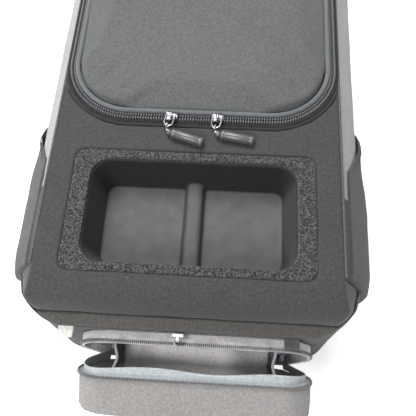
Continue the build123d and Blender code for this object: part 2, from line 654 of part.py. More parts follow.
def carry_handle():
    """Webbing handle on the far end, standing off as a flat arch."""
    half = HANDLE_SPAN / 2
    foot = half + HANDLE_FOOT
    outer_edge = HANDLE_REACH
    path = [
        (-foot, 0),
        (-half, 0),
        (-half + HANDLE_REACH / 2, HANDLE_REACH - HANDLE_STRAP),
        (half - HANDLE_REACH / 2, HANDLE_REACH - HANDLE_STRAP),
        (half, 0),
        (foot, 0),
        (foot, HANDLE_STRAP),
        (half + HANDLE_STRAP, HANDLE_STRAP),
        (half - HANDLE_REACH / 2 + HANDLE_STRAP, outer_edge),
        (-half + HANDLE_REACH / 2 - HANDLE_STRAP, outer_edge),
        (-half - HANDLE_STRAP, HANDLE_STRAP),
        (-foot, HANDLE_STRAP),
    ]
    strip = make_face(Polyline(*path, close=True))
    handle = Pos(0, FAR_Y, HANDLE_Z - HANDLE_WIDTH / 2) * extrude(strip, amount=HANDLE_WIDTH)
    save("carry_handle", handle - outer)


def strap_loops():
    """Sewn webbing loops low on both sides and the far end for the fixing straps."""
    outline = RectangleRounded(2 * LOOP_REACH, LOOP_HEIGHT, LOOP_HEIGHT / 3)
    gap_length = 2 * (LOOP_REACH - LOOP_STRAP)
    gap_height = LOOP_HEIGHT - 2 * LOOP_STRAP
    gap = RectangleRounded(gap_length, gap_height, LOOP_HEIGHT / 3 - LOOP_STRAP)
    tube = extrude(outline - gap, amount=LOOP_STRAP_WIDTH / 2, both=True)
    level = slab((-FAR_AWAY, -CUT, LOOP_Z - CUT), (FAR_AWAY, CUT, LOOP_Z + CUT))
    reach = (outer & level).bounding_box().max.X
    spots = (
        ("strap_loop_left", Pos(-reach, LOOP_SIDE_Y, LOOP_Z) * Rot(90, 0, 0)),
        ("strap_loop_right", Pos(reach, LOOP_SIDE_Y, LOOP_Z) * Rot(90, 0, 0)),
        ("strap_loop_far", Pos(0, FAR_Y, LOOP_Z) * Rot(0, 0, 90) * Rot(90, 0, 0)),
    )
    for name, place in spots:
        save(name, (place * tube) - outer)


body_panels()
body_lining()
base_board()
moulded_top_panel()
hook_and_loop_frame()
side_piping()
near_binding()
lid_zip_body_half()
lid_pieces()
for label, x, yaw in (("left", LEFT_SLIDER_X, LEFT_PULL_YAW), ("right", RIGHT_SLIDER_X, RIGHT_PULL_YAW)):
    lid_slider(f"lid_slider_{label}", x)
    lid_ring_link(f"lid_ring_{label}", x, yaw)
    lid_pull(f"lid_pull_{label}", x, yaw)
pocket_pieces()
near_end_fittings()
slit_slider()
pocket_sliders()
gussets()
side_pockets()
carry_handle()
strap_loops()
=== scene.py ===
from math import cos, pi, radians, sin, tan

import bpy
from mathutils import Matrix, Vector


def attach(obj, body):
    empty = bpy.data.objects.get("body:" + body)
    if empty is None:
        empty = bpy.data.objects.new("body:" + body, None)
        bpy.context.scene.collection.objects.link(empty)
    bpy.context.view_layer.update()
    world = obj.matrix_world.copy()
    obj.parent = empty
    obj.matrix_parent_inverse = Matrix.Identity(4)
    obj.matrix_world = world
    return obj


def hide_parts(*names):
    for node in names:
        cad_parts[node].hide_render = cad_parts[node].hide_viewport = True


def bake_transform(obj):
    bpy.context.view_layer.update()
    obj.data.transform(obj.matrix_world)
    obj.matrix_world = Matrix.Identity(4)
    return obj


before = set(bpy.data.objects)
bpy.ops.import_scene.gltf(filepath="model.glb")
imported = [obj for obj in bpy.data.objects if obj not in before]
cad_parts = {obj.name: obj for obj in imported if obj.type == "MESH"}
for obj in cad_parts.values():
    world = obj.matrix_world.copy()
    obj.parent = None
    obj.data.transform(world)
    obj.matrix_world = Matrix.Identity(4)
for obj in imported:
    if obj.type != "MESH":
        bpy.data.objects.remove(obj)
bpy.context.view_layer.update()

# The studio: a white floor that glows a little, one broad soft lamp high over the far end of the bag, a
# weaker one over the rider's left and a dim white sky, with the camera above the rider's end.
view = bpy.data.objects.new("view", bpy.data.cameras.new("view"))
bpy.context.collection.objects.link(view)
view.matrix_world = Matrix.Translation((0.035748, -0.313693, 0.600494)) @ Matrix(
    ((0.99798, -0.04680, 0.04303), (0.06048, 0.90760, -0.41547), (-0.01961, 0.41723, 0.90859))
).to_4x4()
view.data.lens = 50.45
view.data.sensor_width = 36
view.data.clip_start = 0.01
bpy.context.scene.camera = view
bpy.context.scene.view_settings.view_transform = "Standard"
AIM = Vector((0, -0.05, 0.1))


def lamp(name, place, size, power):
    """A square soft lamp that looks at the middle of the bag."""
    light = bpy.data.lights.new(name, "AREA")
    light.shape = "SQUARE"
    light.size = size
    light.energy = power
    holder = bpy.data.objects.new(name, light)
    bpy.context.collection.objects.link(holder)
    holder.location = place
    holder.rotation_euler = (AIM - holder.location).to_track_quat("-Z", "Y").to_euler()


lamp("key_lamp", (-0.25, 0.55, 1.40), 0.7, 22)
lamp("front_lamp", (-0.45, -0.9, 1.0), 0.5, 11)
sky = bpy.data.worlds.new("sky")
sky.use_nodes = True
sky_light = sky.node_tree.nodes["Background"].inputs
sky_light["Color"].default_value = (1, 1, 1, 1)
sky_light["Strength"].default_value = 0.32
bpy.context.scene.world = sky


class Term:
    """One value in a finish, which joins in sums as a number does."""

    def __init__(self, finish, socket):
        self.finish = finish
        self.socket = socket

    def sum(self, operation, first, second=0.0):
        return self.finish.node("ShaderNodeMath", {"operation": operation}, {0: first, 1: second})

    def __add__(self, other):
        return self.sum("ADD", self, other)

    def __radd__(self, other):
        return self.sum("ADD", other, self)

    def __sub__(self, other):
        return self.sum("SUBTRACT", self, other)

    def __rsub__(self, other):
        return self.sum("SUBTRACT", other, self)

    def __mul__(self, other):
        return self.sum("MULTIPLY", self, other)

    def __rmul__(self, other):
        return self.sum("MULTIPLY", other, self)

    def __gt__(self, other):
        return self.sum("GREATER_THAN", self, other)

    def __lt__(self, other):
        return self.sum("LESS_THAN", self, other)

    def wave(self, pitch):
        """A sine along this value, from -1 to 1, one turn for each pitch."""
        return self.sum("SINE", self * (2 * pi / pitch))


class Finish:
    """One material: a principled shader, its constants, and the nodes that vary it over the surface."""

    def __init__(self, name, color, roughness, **constants):
        self.material = bpy.data.materials.new(name)
        self.material.use_nodes = True
        self.tree = self.material.node_tree
        self.shader = self.tree.nodes["Principled BSDF"]
        self.shader.inputs["Base Color"].default_value = (*color, 1)
        self.shader.inputs["Roughness"].default_value = roughness
        for socket, value in constants.items():
            self.shader.inputs[socket.replace("_", " ").title()].default_value = value
        self.place = self.node("ShaderNodeTexCoord", out="Object")

    def node(self, kind, settings=None, values=None, out=0):
        added = self.tree.nodes.new(kind)
        for setting, value in (settings or {}).items():
            setattr(added, setting, value)
        for socket, value in (values or {}).items():
            if isinstance(value, Term):
                self.tree.links.new(value.socket, added.inputs[socket])
            else:
                added.inputs[socket].default_value = value
        return Term(self, added.outputs[out])

    def axis(self, letter):
        return self.node("ShaderNodeSeparateXYZ", {}, {0: self.place}, out=letter)

    def noise(self, size, detail=3.0):
        """Soft noise from 0 to 1 whose patches are about size across."""
        values = {"Vector": self.place, "Scale": 1 / size, "Detail": detail}
        return self.node("ShaderNodeTexNoise", {}, values)

    def specks(self, size, share):
        """1 on scattered round specks, and 0 between them."""
        values = {"Vector": self.place, "Scale": 1 / size}
        return self.node("ShaderNodeTexVoronoi", {}, values) < share

    def mix(self, share, first, second):
        values = {0: share, 6: first, 7: second}
        return self.node("ShaderNodeMix", {"data_type": "RGBA"}, values, out=2)

    def shade(self, share, dark, light):
        return self.mix(share, (*dark, 1), (*light, 1))

    def edge_wear(self):
        """0 on flat cloth, rising to 1 on outward edges."""
        rub = self.node("ShaderNodeNewGeometry", out="Pointiness")
        ends = {"From Min": 0.51, "From Max": 0.6}
        return self.node("ShaderNodeMapRange", {}, {"Value": rub, **ends})

    def set(self, socket, term):
        self.tree.links.new(term.socket, self.shader.inputs[socket])

    def found(self, socket):
        """The term that drives this socket now."""
        return Term(self, self.shader.inputs[socket].links[0].from_socket)

    def tone(self, share, dark, light):
        """Colour the surface from dark to light by share."""
        self.set("Base Color", self.shade(share, dark, light))

    def bump(self, height, depth, strength=1.0):
        values = {"Height": height, "Distance": depth, "Strength": strength}
        self.set("Normal", self.node("ShaderNodeBump", {}, values))


def cloth(name, dark, light, pitch, across, along, roughness=0.85, depth=0.0003, mottle=0.03, sheen=0.15):
    """Woven cloth whose threads run with the two named directions, a pitch apart, mottled and rubbed."""
    made = Finish(name, dark, roughness, sheen_weight=sheen, sheen_roughness=0.5)
    warp = thread(made, across).wave(pitch)
    weft = thread(made, along).wave(pitch)
    weave = warp * weft * 0.5 + 0.5
    patches = made.noise(mottle)
    grain = made.noise(0.0022, 2.0)
    share = weave * 0.3 + patches * 0.4 + grain * 1.6 - 0.65
    toned_colour = made.mix(made.edge_wear() * 0.3, made.shade(share, dark, light), (*light, 1))
    made.set("Base Color", toned_colour)
    made.set("Roughness", patches * 0.16 + (roughness - 0.08))
    made.bump(weave + grain * 0.6, depth)
    return made


def thread(made, direction):
    """Distance along x, y or z, or round an upright wall where the direction is wall."""
    if direction == "wall":
        return made.axis("X") + made.axis("Y")
    return made.axis(direction)


floor_finish = Finish(
    "studio_floor", (0.94, 0.94, 0.94), 0.9, emission_color=(1, 1, 1, 1), emission_strength=0.6
)
floor_finish.tone(floor_finish.noise(0.5), (0.93, 0.93, 0.93), (0.95, 0.95, 0.95))
bpy.ops.object.select_all(action="DESELECT")
bpy.ops.mesh.primitive_plane_add(size=6, location=(0, 0, -0.0005))
floor = bpy.context.object
floor.name = "floor"
floor.data.materials.append(floor_finish.material)


# Body panels: foam-backed cloth cut to shape and sewn at the seams, light grey at the sides, black at both
# ends.  Each is grown from its plain solid, rounded at the seams, drawn a little uneven by the stitching and
# bellied out between them.
def alone(*pieces):
    """Select these pieces and nothing else, the first one active."""
    bpy.ops.object.select_all(action="DESELECT")
    for piece in pieces:
        piece.select_set(True)
    bpy.context.view_layer.objects.active = pieces[0]


def fix(piece):
    """Apply every modifier of the piece in turn."""
    alone(piece)
    for modifier in list(piece.modifiers):
        bpy.ops.object.modifier_apply(modifier=modifier.name)


def finished(piece, material, nodes, body):
    """Give a piece its material and its body, and hide the plain solids it stands for."""
    piece.data.materials.clear()
    piece.data.materials.append(material.material)
    alone(piece)
    bpy.ops.object.shade_smooth()
    if nodes:
        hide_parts(*nodes)
    if body:
        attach(piece, body)
    return piece


def skin_of(name, node, voxel, rounds, keep=1.0):
    """One closed skin over a plain solid, rounded by so many passes, that keeps a share of its faces."""
    piece = bpy.data.objects.new(name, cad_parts[node].data.copy())
    bpy.context.collection.objects.link(piece)
    alone(piece)
    bpy.ops.object.mode_set(mode="EDIT")
    bpy.ops.mesh.select_all(action="SELECT")
    bpy.ops.mesh.remove_doubles(threshold=0.00001)
    bpy.ops.object.mode_set(mode="OBJECT")
    remesh = piece.modifiers.new("skin", "REMESH")
    remesh.mode = "VOXEL"
    remesh.voxel_size = voxel
    ease = piece.modifiers.new("ease", "SMOOTH")
    ease.factor = 0.5
    ease.iterations = rounds
    if keep < 1:
        fewer = piece.modifiers.new("fewer", "DECIMATE")
        fewer.ratio = keep
    fix(piece)
    return piece


def rumple(piece, size, depth, group=""):
    """Push the cloth in and out by soft clouds about size across."""
    clouds = bpy.data.textures.new(piece.name + "_folds", "CLOUDS")
    clouds.noise_scale = size
    clouds.noise_depth = 1
    folds = piece.modifiers.new("folds", "DISPLACE")
    folds.texture = clouds
    folds.texture_coords = "LOCAL"
    folds.strength = depth
    folds.mid_level = 0.5
    folds.vertex_group = group
    fix(piece)
    return piece


def eased(value, low, high):
    """0 below low, 1 above high, and a smooth rise between."""
    share = min(max((value - low) / (high - low), 0), 1)
    return share * share * (3 - 2 * share)


BELLY = 0.012
BELLY_FOOT = 0.02
BELLY_HEIGHT = 0.128
MOUTH_TOP = (-0.0617, 0.1366)
MOUTH_RUN = (0.131, 0.1173)


def bellied(piece, drawn=0.0):
    """Let the side walls belly out between base and top seam, drawn in at the seam and the pocket mouth."""
    for point in piece.data.vertices:
        rise = min(max((point.co.z - BELLY_FOOT) / BELLY_HEIGHT, 0), 1)
        ends = eased(point.co.y, -0.205, -0.14) * (1 - eased(point.co.y, 0.17, 0.204))
        moved = BELLY * sin(pi * rise ** 1.6) * ends * eased(abs(point.co.x), 0.10, 0.125)
        mouth = (point.co.y - MOUTH_TOP[0]) / MOUTH_RUN[0] - (MOUTH_TOP[1] - point.co.z) / MOUTH_RUN[1]
        moved -= drawn * max(eased(point.co.z, 0.09, 0.14), 0.55 * eased(mouth, -0.5, 0))
        point.co.x += moved if point.co.x > 0 else -moved
    return piece


def cut_flat(piece, width, length, held, *under):
    area = sum(face.area for face in piece.data.polygons) / 2


PANEL_VOXEL = 0.0016
grey_side = cloth("grey_side_cloth", (0.30, 0.30, 0.30), (0.50, 0.50, 0.49), 0.0011, "Y", "Z")
behind_pocket = grey_side.axis("Y") < -0.09
black_cloth = (0.045, 0.045, 0.047, 1)
grey_side.set("Base Color", grey_side.mix(behind_pocket, grey_side.found("Base Color"), black_cloth))
black_wall = cloth("black_wall_cloth", (0.020, 0.020, 0.022), (0.060, 0.060, 0.064), 0.0012, "wall", "Z")
black_base = cloth(
    "ribbed_base_cloth", (0.015, 0.015, 0.017), (0.045, 0.045, 0.05), 0.003, "X", "Y", depth=0.0008
)
BODY_PANELS = (
    ("side_skin_left", "side_panel_left", grey_side, "side_fabric"),
    ("side_skin_right", "side_panel_right", grey_side, "side_fabric"),
    ("far_end_skin", "far_end_panel", black_wall, "side_fabric"),
    ("near_end_skin", "near_end_panel", black_wall, "end_fabric"),
    ("base_skin", "base_panel", black_base, "base_fabric"),
)
for name, node, material, slot in BODY_PANELS:
    skin = bellied(rumple(skin_of(name, node, PANEL_VOXEL, 4, 0.6), 0.05, 0.0016))
    finished(skin, material, [node], "bag")


# Inside of the body: a thin coated lining sewn to the walls, and a loose stiff board on the floor that keeps
# the base flat under load.
coated = cloth(
    "coated_lining_cloth", (0.10, 0.105, 0.115), (0.19, 0.195, 0.21), 0.0009, "wall", "Z", roughness=0.5
)
sleeve = bellied(skin_of("lining_sleeve", "body_lining", 0.0015, 2, 0.25))
finished(sleeve, coated, ["body_lining"], "bag")
cut_flat(sleeve, 1.42, 0.15, "stretched", "near_end_skin", "far_end_skin")


def repaint(node, finish):
    """Give a plain solid that stays as it is a better finish."""
    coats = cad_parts[node].data.materials
    coats.clear()
    coats.append(finish.material)


board = Finish("stiff_board_sheet", (0.02, 0.02, 0.02), 0.6)
board.tone(board.noise(0.02), (0.015, 0.015, 0.015), (0.035, 0.035, 0.037))
board.bump(board.noise(0.0015), 0.0002)
repaint("base_board", board)


# Moulded top panel: smooth knit laminated to foam and pressed in one piece, with the roll-over at the near
# end, the shelf for the loop frame, and the tapered well with a low rib across its floor.  The level well
# floor is painted lighter as painted light, the steep walls are painted darker as painted shade, and lint
# clings all over.
moulded = cloth(
    "pressed_knit",
    (0.030, 0.029, 0.029),
    (0.068, 0.066, 0.065),
    0.0009,
    "X",
    "Y",
    depth=0.00015,
    mottle=0.02,
    sheen=0.1,
)
knit = moulded.found("Base Color")
# Painted light: a lighter, mottled tone for the level well floor, where the lamp overhead falls on it.
lit_floor_colour = moulded.shade(moulded.noise(0.012), (0.075, 0.073, 0.072), (0.135, 0.131, 0.127))
normal = moulded.node("ShaderNodeNewGeometry", out="Normal")
level = moulded.node("ShaderNodeSeparateXYZ", {}, {0: normal}, out="Z") * 2.5 - 1.4
# Mask for the painted light: the parts of the well floor that face up.
lit_floor_mask = level * (moulded.axis("Z") < 0.135)
# Painted shade: the steep walls of the well are painted darker, as if in shadow.
wall_shade_mask = (1 - level) * (moulded.axis("Z") < 0.1485) * (moulded.axis("Y") > -0.166)
lint = moulded.specks(0.006, 0.045)
wall_shaded = moulded.mix(wall_shade_mask * 0.75, knit, (0.010, 0.010, 0.012, 1))
toned_colour = moulded.mix(lit_floor_mask, wall_shaded, lit_floor_colour)
moulded.set("Base Color", moulded.mix(lint * 0.5, toned_colour, (0.55, 0.55, 0.55, 1)))
top_panel = skin_of("moulded_top_skin", "moulded_top_panel", 0.0015, 7)
bellied(rumple(top_panel, 0.03, 0.0012))
finished(top_panel, moulded, ["moulded_top_panel"], "bag")


# Loop frame: a die-cut frame of black loop tape glued in the shelf.  Its pile stands as a dense uneven fuzz.
pile = Finish("loop_pile_black", (0.02, 0.02, 0.021), 0.95, sheen_weight=0.3)
tufts = pile.noise(0.0014, 4.0)
pile.tone(tufts * 3 - 1.2, (0.006, 0.006, 0.007), (0.135, 0.135, 0.137))
pile.bump(tufts, 0.0012)
loops = skin_of("loop_frame_pile", "hook_loop_frame", 0.0009, 1)
rumple(loops, 0.0016, 0.0016)
finished(loops, pile, ["hook_loop_frame"], "bag")


# Piping along both long top edges: a cord in a folded cloth strip, sewn into the seam.
piping_cloth = cloth(
    "piping_cloth", (0.045, 0.045, 0.047), (0.10, 0.10, 0.102), 0.0012, "Y", "Z", roughness=0.7
)
for side in ("left", "right"):
    rolled = skin_of(f"side_roll_{side}", f"side_piping_{side}", 0.0006, 3)
    finished(rolled, piping_cloth, [f"side_piping_{side}"], "bag")


# Binding strip over the seam under the roll-over: ribbed tape, sewn with a row of straight stitches.
ribbed = cloth("ribbed_tape", (0.050, 0.047, 0.044), (0.120, 0.114, 0.107), 0.0022, "wall", "Z", depth=0.0006)
binding = bellied(skin_of("near_binding_tape", "near_binding", 0.0008, 2))
finished(binding, ribbed, ["near_binding"], "bag")


def spaced(points, gap):
    """Places an equal gap apart along a line of points, each with the direction of the line there."""
    found = []
    walked = gap / 2
    for start, end in zip(points, points[1:]):
        run = (end - start).length
        while walked <= run and run > 0:
            found.append((start.lerp(end, walked / run), (end - start).normalized()))
            walked += gap
        walked -= run
    return found


def row_of(name, model, places, up):
    """One mesh with a copy of the model at each place: x along the line, z towards up, y across."""
    points = []
    faces = []
    model_points = [point.co.copy() for point in model.data.vertices]
    model_faces = [tuple(face.vertices) for face in model.data.polygons]
    for place, along in places:
        across = up.cross(along).normalized()
        turn = Matrix((along, across, along.cross(across))).transposed()
        first = len(points)
        points += [place + turn @ point for point in model_points]
        faces += [tuple(first + corner for corner in face) for face in model_faces]
    mesh = bpy.data.meshes.new(name)
    mesh.from_pydata(points, [], faces)
    row = bpy.data.objects.new(name, mesh)
    bpy.context.collection.objects.link(row)
    return row


def rounded(corners, radius, turns=14):
    """Points along straight runs whose inner corners are arcs of that radius."""
    points = [corners[0]]
    for before, corner, after in zip(corners, corners[1:], corners[2:]):
        back = (before - corner).normalized()
        onward = (after - corner).normalized()
        half = back.angle(onward) / 2
        centre = corner + (back + onward).normalized() * (radius / sin(half))
        start = corner + back * (radius / tan(half)) - centre
        end = corner + onward * (radius / tan(half)) - centre
        axis = start.cross(end).normalized()
        for step in range(turns + 1):
            points.append(centre + Matrix.Rotation(start.angle(end) * step / turns, 3, axis) @ start)
    points.append(corners[-1])
    return points


def tube(name, points, radius, sides=4):
    """A round cord along the points, closed at both ends."""
    line = bpy.data.curves.new(name, "CURVE")
    line.dimensions = "3D"
    line.bevel_depth = radius
    line.bevel_resolution = sides
    line.use_fill_caps = True
    spline = line.splines.new("POLY")
    spline.points.add(len(points) - 1)
    for point, place in zip(spline.points, points):
        point.co = (*place, 1)
    cord = bpy.data.objects.new(name, line)
    bpy.context.collection.objects.link(cord)
    alone(cord)
    bpy.ops.object.convert(target="MESH")
    return cord


def stitch_model():
    """One straight stitch: a short rod of thread, domed at the ends."""
    bpy.ops.object.select_all(action="DESELECT")
    bpy.ops.mesh.primitive_uv_sphere_add(segments=6, ring_count=4, radius=0.00035, rotation=(0, pi / 2, 0))
    model = bpy.context.object
    bpy.ops.object.transform_apply(location=False, rotation=True)
    for point in model.data.vertices:
        point.co.x += 0.0008 * (1 if point.co.x > 0.00005 else -1 if point.co.x < -0.00005 else 0)
    return model


thread_finish = Finish("sewing_thread", (0.16, 0.16, 0.16), 0.6)
thread_finish.tone(thread_finish.noise(0.004), (0.08, 0.08, 0.08), (0.24, 0.24, 0.23))
one_stitch = stitch_model()
BINDING_LOW = 0.109
BINDING_FRONT = -0.2037
seam_line = rounded(
    [
        Vector((-0.1405, -0.166, BINDING_LOW)),
        Vector((-0.1375, BINDING_FRONT, BINDING_LOW)),
        Vector((0.1375, BINDING_FRONT, BINDING_LOW)),
        Vector((0.1405, -0.166, BINDING_LOW)),
    ],
    0.032,
)
seam_out = Vector((0, -0.743, 0.669))
seam = row_of("binding_stitches", one_stitch, spaced(seam_line, 0.0034), seam_out)
finished(bellied(seam), thread_finish, [], "bag")


# Lid zip: a woven tape sewn round the opening, and two nylon coils.  Each coil is one wire wound in close
# hoops over a core cord; the outer one stays on the bag and the inner one opens with the lid.
HOOP_PITCH = 0.0024
COIL_BASE = 0.1503
LID_HALF = 0.1165
LID_NEAR = -0.012
LID_RADIUS = 0.052
COIL_FAR = 0.164
LID_COIL_STEP = 0.0056
BODY_COIL_STEP = 0.0088


def lid_line(step, height, far=COIL_FAR):
    """The lid's outline grown by step, from the far left round the near edge to the far right."""
    side = LID_HALF + step
    near = LID_NEAR - step
    corners = ((-side, far), (-side, near), (side, near), (side, far))
    return rounded([Vector((x, y, height)) for x, y in corners], LID_RADIUS + step, 24)


def hoop_model(width, height, wire):
    """Half a hoop of coil wire, standing across the line on its two feet."""
    bpy.ops.object.select_all(action="DESELECT")
    bpy.ops.mesh.primitive_torus_add(
        major_segments=12,
        minor_segments=6,
        major_radius=width / 2 - wire,
        minor_radius=wire,
        rotation=(0, pi / 2, 0),
    )
    hoop = bpy.context.object
    bpy.ops.object.transform_apply(location=False, rotation=True)
    bpy.ops.object.mode_set(mode="EDIT")
    bpy.ops.mesh.select_all(action="SELECT")
    bpy.ops.mesh.bisect(plane_co=(0, 0, -wire), plane_no=(0, 0, 1), clear_inner=True, use_fill=True)
    bpy.ops.mesh.select_all(action="SELECT")
    bpy.ops.transform.resize(value=(1, 1, height / (width / 2)))
    bpy.ops.object.mode_set(mode="OBJECT")
    return hoop


nylon = Finish("coil_nylon", (0.10, 0.10, 0.105), 0.3, coat_weight=0.6, coat_roughness=0.2)
nylon.tone(nylon.noise(0.003), (0.08, 0.08, 0.085), (0.26, 0.26, 0.27))
nylon.set("Roughness", nylon.noise(0.002) * 0.2 + 0.2)
zip_cloth = cloth(
    "zip_tape_cloth", (0.008, 0.008, 0.009), (0.032, 0.032, 0.035), 0.0014, "X", "Y", depth=0.0004
)
tape = skin_of("lid_zip_tape", "lid_zip_body_tape", 0.0012, 2)
finished(tape, zip_cloth, ["lid_zip_body_tape"], "bag")

lid_hoop = hoop_model(0.0034, 0.0031, 0.00068)
UP = Vector((0, 0, 1))
for label, step, body, node in (
    ("lid", LID_COIL_STEP, "lid", "lid_zip_lid_coil"),
    ("bag", BODY_COIL_STEP, "bag", "lid_zip_body_coil"),
):
    row = row_of(f"coil_hoops_{label}", lid_hoop, spaced(lid_line(step, COIL_BASE + 0.0006), HOOP_PITCH), UP)
    finished(row, nylon, [node], body)
    core = tube(f"coil_core_{label}", lid_line(step, COIL_BASE + 0.0010), 0.0010)
    finished(core, zip_cloth, [], body)

# The tape's woven edge shows outside the coil as a fine cross-ribbed welt.
rib_line = lid_line(BODY_COIL_STEP + 0.0028, 0.1502)
welt_hoop = hoop_model(0.0024, 0.0011, 0.0005)
welt = row_of("tape_welt", welt_hoop, spaced(rib_line, 0.0012), UP)
finished(welt, zip_cloth, [], "bag")


# Lid: a foam pad under a woven face, swelling a little between its sewn edges, on a thin lining, with a
# rolled edge of coated cloth all round and a strip of the face cloth as its hinge.
lid_face = cloth(
    "lid_face_cloth", (0.080, 0.083, 0.083), (0.155, 0.160, 0.160), 0.0010, "X", "Y", mottle=0.05, sheen=0.1
)


def padded_out(piece, base, pressure, cap):
    """Blow the piece up as cloth under pressure, held below base, and stop each point within cap."""
    rest = [point.co.copy() for point in piece.data.vertices]
    held = piece.vertex_groups.new(name="sewn")
    held.add([point.index for point in piece.data.vertices if point.co.z < base], 1.0, "REPLACE")
    swell = piece.modifiers.new("swell", "CLOTH")
    swell.settings.quality = 4
    swell.settings.use_pressure = True
    swell.settings.uniform_pressure_force = pressure
    swell.settings.effector_weights.gravity = 0
    swell.settings.vertex_group_mass = "sewn"
    swell.settings.tension_stiffness = 12
    swell.settings.compression_stiffness = 12
    swell.settings.bending_stiffness = 0.6
    swell.collision_settings.use_collision = False
    for moment in range(1, 21):
        bpy.context.scene.frame_set(moment)
    alone(piece)
    bpy.ops.object.modifier_apply(modifier="swell")
    bpy.context.scene.frame_set(1)
    for point, start in zip(piece.data.vertices, rest):
        moved = point.co - start
        if moved.length > cap:
            point.co = start + moved * (cap / moved.length)
    piece.vertex_groups.clear()


lid = skin_of("lid_face", "lid_pad", 0.004, 3)
padded_out(lid, 0.1535, 2.5, 0.004)
finer = lid.modifiers.new("finer", "SUBSURF")
finer.levels = 1
finer.render_levels = 1
fix(lid)
rumple(lid, 0.06, 0.0016)
finished(lid, lid_face, ["lid_pad"], "lid")

lid_inside = skin_of("lid_inner_lining", "lid_lining", 0.0008, 0, 0.2)
finished(lid_inside, coated, ["lid_lining"], "lid")
cut_flat(lid_inside, 0.24, 0.22, "stretched", "lid_face")

hinge = skin_of("lid_hinge_cloth", "lid_hinge_strip", 0.0012, 1)
finished(hinge, lid_face, ["lid_hinge_strip"], None)
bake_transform(hinge)

edge_cloth = cloth(
    "rolled_edge_cloth", (0.10, 0.108, 0.115), (0.18, 0.192, 0.205), 0.0010, "X", "Y", 0.6, mottle=0.01
)
EDGE_STEP = 0.0022
edge_roll = tube("lid_rolled_edge", lid_line(EDGE_STEP, 0.1535, far=0.187), 0.0023, 5)
finished(edge_roll, edge_cloth, ["lid_piping"], "lid")


# Lid zip sliders: cast metal bodies with a bridge, a bent wire ring through the bridge, and a moulded barrel
# pull that hangs in the ring by its own eye.
metal = Finish("worn_nickel", (0.55, 0.55, 0.57), 0.28, metallic=1.0)
scuffs = metal.noise(0.0009, 5.0)
metal.tone(scuffs, (0.36, 0.36, 0.38), (0.72, 0.72, 0.74))
metal.set("Roughness", scuffs * 0.3 + 0.16)
metal.bump(scuffs, 0.00008)

rubber = Finish("pull_moulding", (0.05, 0.05, 0.053), 0.4, coat_weight=0.5, coat_roughness=0.25)
rub = rubber.noise(0.002, 4.0)
moulding = rubber.shade(rub, (0.035, 0.035, 0.037), (0.085, 0.085, 0.09))
rubber.set("Base Color", rubber.mix(rubber.edge_wear() * 0.6, moulding, (0.25, 0.25, 0.26, 1)))
rubber.set("Roughness", rub * 0.3 + 0.26)
rubber.bump(rubber.noise(0.0006, 2.0), 0.00008)


def turned(name, profile, steps=24):
    """A solid turned about the x axis from a profile of (x, radius) points."""
    mesh = bpy.data.meshes.new(name)
    points = [(x, 0, radius) for x, radius in profile]
    mesh.from_pydata(points, [(i, i + 1) for i in range(len(points) - 1)], [])
    piece = bpy.data.objects.new(name, mesh)
    bpy.context.collection.objects.link(piece)
    lathe = piece.modifiers.new("lathe", "SCREW")
    lathe.axis = "X"
    lathe.steps = steps
    lathe.render_steps = steps
    lathe.use_merge_vertices = True
    lathe.merge_threshold = 0.00001
    fix(piece)
    outward(piece)
    return piece


def outward(piece):
    """Merge doubles and turn every face outwards."""
    alone(piece)
    bpy.ops.object.mode_set(mode="EDIT")
    bpy.ops.mesh.select_all(action="SELECT")
    bpy.ops.mesh.remove_doubles(threshold=0.00001)
    bpy.ops.mesh.normals_make_consistent(inside=False)
    bpy.ops.object.mode_set(mode="OBJECT")


def joined(name, *pieces):
    """Several meshes made one."""
    alone(*pieces)
    bpy.ops.object.join()
    bpy.context.object.name = name
    return bpy.context.object


def placed(piece, place, turn=0.0):
    """Turn a piece about the upright and set it in place, in its mesh."""
    piece.data.transform(Matrix.Translation(place) @ Matrix.Rotation(turn, 4, "Z"))
    return piece


def slider_model():
    """Zip slider: two bevelled plates drawn in at the nose, a divider between them and a bridge on top."""
    plates = []
    for height, thickness in ((0.0005, 0.0010), (0.0019, 0.0009)):
        bpy.ops.object.select_all(action="DESELECT")
        bpy.ops.mesh.primitive_cube_add(size=1, scale=(0.011, 0.0076, thickness), location=(0, 0, height))
        plate = bpy.context.object
        bpy.ops.object.transform_apply(location=True, scale=True)
        for point in plate.data.vertices:
            if point.co.x > 0:
                point.co.y *= 0.62
        round_edges(plate, 0.0004)
        plates.append(plate)
    bpy.ops.mesh.primitive_cylinder_add(vertices=12, radius=0.0014, depth=0.0018, location=(0.002, 0, 0.0012))
    post = bpy.context.object
    bpy.ops.object.transform_apply(location=True)
    bridge = hoop_model(0.0066, 0.0046, 0.0009)
    for point in bridge.data.vertices:
        point.co.x *= 1.7
        point.co.z += 0.0024
    return joined("slider_model", *plates, post, bridge)


def round_edges(piece, width, segments=2):
    """Bevel every sharp edge of the piece."""
    bevel = piece.modifiers.new("bevel", "BEVEL")
    bevel.width = width
    bevel.segments = segments
    bevel.limit_method = "ANGLE"
    fix(piece)


